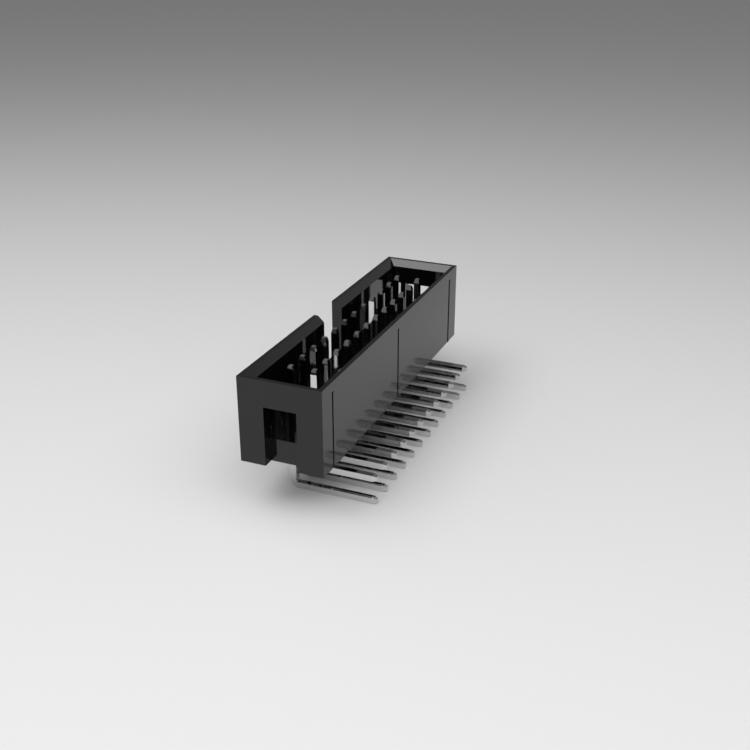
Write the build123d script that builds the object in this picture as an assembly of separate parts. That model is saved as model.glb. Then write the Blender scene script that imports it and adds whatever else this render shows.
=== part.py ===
# Right-angle shrouded pin header, two rows of twelve contacts, open towards +Z.
# +X points at the circuit board, Y runs along the rows, and the far row's tails lie on Z = 0.
from build123d import *
import os

# Contacts: square wire, one row nearer the board and one farther from it
contacts_per_row = 12
contact_pitch = 2.54
row_spacing = 2.54
wire_side = 0.64
tip_side = 0.42
tip_length = 0.45
bend_inner_radius = 0.15
press_clearance = 0.01

# Solder tails: two levels, one for each row, past the ribs that lie on the board
tail_row_spacing = 2.54
tail_projection = 3.28
near_tail_drop = 1.995

# Shroud walls, measured from the foot of the walls up to the rim
wall_height = 9.03
wall_thickness = 1.17
rim_width = 0.47
side_margin = 3.155
end_margin = 5.08
contact_recess = 0.48

# Base that holds the contacts and closes the bottom of the shroud, flush with the foot of the walls
base_floor_height = 2.43

# Openings in the walls: a slot through each end and the key notch on the side away from the board
end_slot_width = 3.45
end_slot_height = 6.27
key_notch_width = 4.5

# Thin ribs up the board-side wall, which hold it just off the board
rib_width = 0.3
rib_height = 0.07
rib_rim_gap = 1.1
rib_end_margin = 2.4

# Levels, from the surface that the far row's tails lie on
half_wire = wire_side / 2
far_tail_level = half_wire
near_tail_level = far_tail_level + tail_row_spacing
wall_foot = near_tail_level + near_tail_drop
base_floor = wall_foot + base_floor_height
rim = wall_foot + wall_height
contact_top = rim - contact_recess

# Plan: the origin is midway between the outer side wall and the ends of the tails
row_length = (contacts_per_row - 1) * contact_pitch
housing_length = row_length + 2 * end_margin
housing_width = row_spacing + 2 * side_margin
overall_depth = housing_width + rib_height + tail_projection
outer_face = -overall_depth / 2
board_side = outer_face + housing_width
tail_end = board_side + rib_height + tail_projection
shroud_middle = (outer_face + board_side) / 2
near_row = shroud_middle + row_spacing / 2
far_row = shroud_middle - row_spacing / 2
contact_places = [contact_pitch * i - row_length / 2 for i in range(contacts_per_row)]

inner_width = housing_width - 2 * wall_thickness
inner_length = housing_length - 2 * wall_thickness
end_face = housing_length / 2


def block(width, length, bottom, top, x=0.0, y=0.0):
    """A rectangular block centred on x and y, between two levels."""
    return Pos(x, y, bottom) * Box(width, length, top - bottom, align=(Align.CENTER, Align.CENTER, Align.MIN))


def shroud():
    """Four walls round the cavity, with a 45 degree lead-in at the mouth."""
    outside = block(housing_width, housing_length, wall_foot, rim, shroud_middle)
    walls = outside - block(inner_width, inner_length, wall_foot, rim, shroud_middle)
    mouth = walls.faces().sort_by(Axis.Z)[-1].inner_wires()[0]
    return chamfer(mouth.edges(), length=wall_thickness - rim_width)


def base():
    """The thick floor between the walls."""
    return block(inner_width, inner_length, wall_foot, base_floor, shroud_middle)


def contact_holes():
    """Square holes through the base, one for each contact."""
    side = wire_side + 2 * press_clearance
    hole = block(side, side, wall_foot, base_floor)
    return [Pos(x, y, 0) * hole for x in (near_row, far_row) for y in contact_places]


def end_slots():
    """A slot up each end wall from its foot, which bares the end of the base."""
    slot = block(end_slot_width, wall_thickness, wall_foot, wall_foot + end_slot_height)
    reach = end_face - wall_thickness / 2
    return [Pos(shroud_middle, y, 0) * slot for y in (-reach, reach)]


def key_notch():
    """The polarising notch, open at the rim and cut down to the cavity floor."""
    return block(wall_thickness, key_notch_width, base_floor, rim, outer_face + wall_thickness / 2)


def board_ribs():
    """Three ribs, near both ends and midway, up from the foot of the board-side wall."""
    rib = block(rib_height, rib_width, wall_foot, rim - rib_rim_gap, board_side + rib_height / 2)
    reach = end_face - rib_end_margin
    return [Pos(0, y, 0) * rib for y in (-reach, 0, reach)]


def housing():
    """The whole moulding in one piece."""
    return shroud() + base() + board_ribs() - contact_holes() - end_slots() - key_notch()


def point(wire, end):
    """The wire with one end face drawn in to the smaller square of its tip."""
    return chamfer(end.edges(), length=(wire_side - tip_side) / 2, length2=tip_length, reference=end)


def contact(row, tail_level):
    """One contact at Y = 0: a pin up through the base, bent once towards the board."""
    top = Vector(row, 0, contact_top)
    corner = Vector(row, 0, tail_level)
    end = Vector(tail_end, 0, tail_level)
    path = FilletPolyline(top, corner, end, radius=bend_inner_radius + half_wire)
    wire = sweep(Plane(top, z_dir=(0, 0, -1)) * Rectangle(wire_side, wire_side), path=path)
    wire = point(wire, wire.faces().sort_by(Axis.Z)[-1])
    return point(wire, wire.faces().sort_by(Axis.X)[-1])


os.makedirs("parts", exist_ok=True)
export_step(housing(), "parts/housing.step")
for row_name, row, tail_level in (("near", near_row, near_tail_level), ("far", far_row, far_tail_level)):
    bent_wire = contact(row, tail_level)
    for number, place in enumerate(contact_places, 1):
        export_step(Pos(0, place, 0) * bent_wire, f"parts/{row_name}_contact_{number:02d}.step")
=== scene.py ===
import math

import bpy
import numpy as np
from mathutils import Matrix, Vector


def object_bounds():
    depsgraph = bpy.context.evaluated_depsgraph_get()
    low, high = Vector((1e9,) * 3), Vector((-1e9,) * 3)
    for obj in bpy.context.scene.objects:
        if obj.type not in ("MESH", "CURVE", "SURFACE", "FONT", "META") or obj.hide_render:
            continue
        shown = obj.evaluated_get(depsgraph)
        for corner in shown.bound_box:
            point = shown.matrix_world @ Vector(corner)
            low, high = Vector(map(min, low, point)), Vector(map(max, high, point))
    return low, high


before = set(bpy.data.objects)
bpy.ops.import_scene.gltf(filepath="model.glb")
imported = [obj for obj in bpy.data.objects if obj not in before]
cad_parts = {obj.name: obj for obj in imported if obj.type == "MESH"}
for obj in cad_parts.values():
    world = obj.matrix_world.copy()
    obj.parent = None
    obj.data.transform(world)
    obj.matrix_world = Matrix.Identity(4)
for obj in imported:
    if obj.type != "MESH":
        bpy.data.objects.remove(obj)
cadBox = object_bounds()
mm = 0.001               # the scene is in metres, the sizes below are in millimetres
print("frame loaded with", len(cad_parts), "pieces")


# An sRGB hex colour as the linear values that the shaders take, with the standard's own numbers: a straight
# line in the darkest part of the scale, and a power above it.
def linear(hexColour):
    parts = np.array([int(hexColour[i:i + 2], 16) for i in (1, 3, 5)]) / 255
    straight = parts / 12.92
    curved = ((parts + 0.055) / 1.055) ** 2.4
    return (*np.where(parts <= 0.04045, straight, curved).tolist(), 1.0)


# Adds one node: settings are its own properties, values go into its free sockets, and links join its sockets
# to other nodes' outputs.
def addNode(tree, kind, settings=None, values=None, links=None):
    node = tree.nodes.new(kind)
    for name, setting in (settings or {}).items():
        setattr(node, name, setting)
    for name, value in (values or {}).items():
        node.inputs[name].default_value = value
    for name, socket in (links or {}).items():
        tree.links.new(socket, node.inputs[name])
    return node


def emptyMaterial(name):
    material = bpy.data.materials.new(name)
    material.use_nodes = True
    material.node_tree.nodes.clear()
    return material, material.node_tree


def dress(nodeName, material):
    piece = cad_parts[nodeName]
    piece.data.materials.clear()
    piece.data.materials.append(material)


# Housing: PBT, injection moulded in a polished tool. It is jet black with a clear mirror sheen, so nearly all
# that shows of it is what it reflects: 4 % face on, and far more where a wall is seen at a low angle.
housingLook = {
    "colour": "#08080A",
    "refraction": 1.5,
    "roughness": (0.05, 0.09),     # lowest and highest, over the flow marks
    "flowMark": 2.6,               # mm across a flow mark of the melt
    "flowStretch": 0.45,           # how quickly the marks change along the rows, beside across them
    "flowDetail": 3.0,             # octaves of noise
    "flowRange": (0.35, 0.65),     # the noise values that give the lowest and the highest roughness
    "grain": 0.12,                 # mm, the tool's polish, drawn coarser than it is so that it shows
    "grainDepth": 0.0006,          # mm
}


def mouldedPbt(look):
    material, tree = emptyMaterial("mouldedBlackPbt")
    place = addNode(tree, "ShaderNodeTexCoord").outputs["Object"]
    stretched = addNode(tree, "ShaderNodeMapping", values={"Scale": (1, look["flowStretch"], 1)},
                        links={"Vector": place})
    flow = addNode(tree, "ShaderNodeTexNoise",
                   values={"Scale": 1 / (look["flowMark"] * mm), "Detail": look["flowDetail"]},
                   links={"Vector": stretched.outputs[0]})
    sheen = addNode(tree, "ShaderNodeMapRange",
                    values={"From Min": look["flowRange"][0], "From Max": look["flowRange"][1],
                            "To Min": look["roughness"][0], "To Max": look["roughness"][1]},
                    links={"Value": flow.outputs[0]})
    grain = addNode(tree, "ShaderNodeTexNoise", values={"Scale": 1 / (look["grain"] * mm)},
                    links={"Vector": place})
    relief = addNode(tree, "ShaderNodeBump", values={"Distance": look["grainDepth"] * mm},
                     links={"Height": grain.outputs[0]})
    shader = addNode(tree, "ShaderNodeBsdfPrincipled",
                     values={"Base Color": linear(look["colour"]), "IOR": look["refraction"]},
                     links={"Roughness": sheen.outputs[0], "Normal": relief.outputs[0]})
    addNode(tree, "ShaderNodeOutputMaterial", links={"Surface": shader.outputs[0]})
    return material


dress("housing", mouldedPbt(housingLook))
print("housing dressed")


# Contacts: brass wire drawn square and plated with bright tin, a near mirror with the faint lines of the die
# running along the wire.
contactLook = {
    "colour": "#D5D5D4",
    "roughness": (0.04, 0.09),     # lowest and highest, over the die's lines
    "dieLine": 0.05,               # mm between the die's lines, drawn coarser than they are so that they show
    "dieLineLength": 3.0,          # mm
    "dieLineRange": (0.3, 0.7),    # the noise values that give the lowest and the highest roughness
    "dieLineDepth": 0.0001,        # mm
}


def brightTin(look):
    material, tree = emptyMaterial("brightTinPlate")
    place = addNode(tree, "ShaderNodeTexCoord").outputs["Object"]
    # the wire runs along Z above the bend and along X past it, so the lines vary across Y most of all
    along = look["dieLine"] / look["dieLineLength"]
    lines = addNode(tree, "ShaderNodeMapping", values={"Scale": (along, 1, along)}, links={"Vector": place})
    drawn = addNode(tree, "ShaderNodeTexNoise", values={"Scale": 1 / (look["dieLine"] * mm)},
                    links={"Vector": lines.outputs[0]})
    polish = addNode(tree, "ShaderNodeMapRange",
                     values={"From Min": look["dieLineRange"][0], "From Max": look["dieLineRange"][1],
                             "To Min": look["roughness"][0], "To Max": look["roughness"][1]},
                     links={"Value": drawn.outputs[0]})
    relief = addNode(tree, "ShaderNodeBump", values={"Distance": look["dieLineDepth"] * mm},
                     links={"Height": drawn.outputs[0]})
    shader = addNode(tree, "ShaderNodeBsdfPrincipled",
                     values={"Base Color": linear(look["colour"]), "Metallic": 1.0},
                     links={"Roughness": polish.outputs[0], "Normal": relief.outputs[0]})
    addNode(tree, "ShaderNodeOutputMaterial", links={"Surface": shader.outputs[0]})
    return material


tinPlate = brightTin(contactLook)
contacts = sorted(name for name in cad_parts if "contact" in name)
for name in contacts:
    dress(name, tinPlate)
print(len(contacts), "contacts dressed")


# Floor: one wide sheet of pale board under the lowest tails, dead matt, so it takes soft shadows and shows no
# reflections.
floorLook = {
    "colour": "#CDCDCD",
    "roughness": 0.9,
    "specular": 0.0,
    "reach": 6000.0,               # mm to each side
    "sink": 0.02,                  # mm below the tails, so that the two never share a face
}


def paleFloor(look):
    level = cadBox[0].z - look["sink"] * mm
    corners = np.array([(-1, -1), (1, -1), (1, 1), (-1, 1)]) * look["reach"] * mm
    mesh = bpy.data.meshes.new("floor")
    mesh.from_pydata([(x, y, level) for x, y in corners.tolist()], [], [(0, 1, 2, 3)])
    material, tree = emptyMaterial("matPaleBoard")
    shader = addNode(tree, "ShaderNodeBsdfPrincipled",
                     values={"Base Color": linear(look["colour"]), "Roughness": look["roughness"],
                             "Specular IOR Level": look["specular"]})
    addNode(tree, "ShaderNodeOutputMaterial", links={"Surface": shader.outputs[0]})
    mesh.materials.append(material)
    floor = bpy.data.objects.new("floor", mesh)
    bpy.context.scene.collection.objects.link(floor)


paleFloor(floorLook)
print("floor laid")


# Light: a dim studio that glows a little on the left and low behind the part. One wide soft lamp hangs close
# above and in front of the part, and a smaller, brighter one high beyond its front left corner.
studioLook = {
    "air": 0.15,                   # brightness of the studio's walls, in W per square metre and steradian
    "glows": {
        # angles in degrees: a glow is full within the first angle from its middle and ends at the second
        "left": {"azimuth": 180, "height": 37, "fullTo": 22, "endsAt": 55, "brightness": 0.42},
        "behind": {"azimuth": 62, "height": 21, "fullTo": 12, "endsAt": 34, "brightness": 0.25},
    },
    "lamps": {
        # places and sizes in mm
        "frontLamp": {"place": (42, -108, 162), "aim": (42, -108, 0), "size": (350, 280), "brightness": 2.05},
        "cornerLamp": {"place": (-140, -168, 346), "aim": (0, 0, 10), "size": (164, 164), "brightness": 2.6},
    },
}


# A glow's brightness follows the cosine of the angle from its middle, eased between its two angles, and all
# glows are added to the air.
def lightAir(look):
    world = bpy.data.worlds.new("studio")
    world.use_nodes = True
    tree = world.node_tree
    towards = addNode(tree, "ShaderNodeTexCoord").outputs["Generated"]
    strength = addNode(tree, "ShaderNodeValue")
    strength.outputs[0].default_value = look["air"]
    for glow in look["glows"].values():
        azimuth, height, fullTo, endsAt = (math.radians(glow[angle])
                                           for angle in ("azimuth", "height", "fullTo", "endsAt"))
        level = math.cos(height)
        middle = (level * math.cos(azimuth), level * math.sin(azimuth), math.sin(height))
        nearness = addNode(tree, "ShaderNodeVectorMath", {"operation": "DOT_PRODUCT"},
                           values={1: middle}, links={0: towards})
        eased = addNode(tree, "ShaderNodeMapRange", {"interpolation_type": "SMOOTHSTEP"},
                        values={"From Min": math.cos(endsAt), "From Max": math.cos(fullTo),
                                "To Max": glow["brightness"]},
                        links={"Value": nearness.outputs["Value"]})
        strength = addNode(tree, "ShaderNodeMath", {"operation": "ADD"},
                           links={0: strength.outputs[0], 1: eased.outputs[0]})
    background = tree.nodes["Background"]
    background.inputs["Color"].default_value = linear("#FFFFFF")
    tree.links.new(strength.outputs[0], background.inputs["Strength"])
    bpy.context.scene.world = world


# An area lamp sends out pi times its brightness from each square metre.
def hangLamp(name, look):
    lamp = bpy.data.lights.new(name, "AREA")
    lamp.shape = "RECTANGLE"
    lamp.size, lamp.size_y = (side * mm for side in look["size"])
    lamp.energy = math.pi * look["brightness"] * lamp.size * lamp.size_y
    holder = bpy.data.objects.new(name, lamp)
    place, aim = Vector(look["place"]), Vector(look["aim"])
    holder.location = place * mm
    holder.rotation_euler = (aim - place).to_track_quat("-Z", "Y").to_euler()
    bpy.context.scene.collection.objects.link(holder)


lightAir(studioLook)
for name, lampLook in studioLook["lamps"].items():
    hangLamp(name, lampLook)
print("studio lit")


# Camera: a 50 mm lens, at the place and angle from which the header was seen.
cameraLook = {
    "place": (39.763, -95.354, 54.682),    # mm
    "azimuth": 22.634,             # degrees to the right of the end face
    "elevation": 24.804,           # degrees above the floor
    "lens": 50.0,                  # mm
    "sensor": 36.0,                # mm
    "sight": (1.0, 20000.0),       # mm, nearest and farthest
}


def setCamera(look):
    camera = bpy.data.cameras.new("camera")
    camera.lens = look["lens"]
    camera.sensor_width = look["sensor"]
    camera.clip_start, camera.clip_end = (distance * mm for distance in look["sight"])
    holder = bpy.data.objects.new("camera", camera)
    holder.location = Vector(look["place"]) * mm
    holder.rotation_euler = (math.radians(90 - look["elevation"]), 0, math.radians(look["azimuth"]))
    bpy.context.scene.collection.objects.link(holder)
    bpy.context.scene.camera = holder


setCamera(cameraLook)
# brightness is shown as it is, with no film curve over it
bpy.context.scene.view_settings.view_transform = "Standard"
print("camera set")
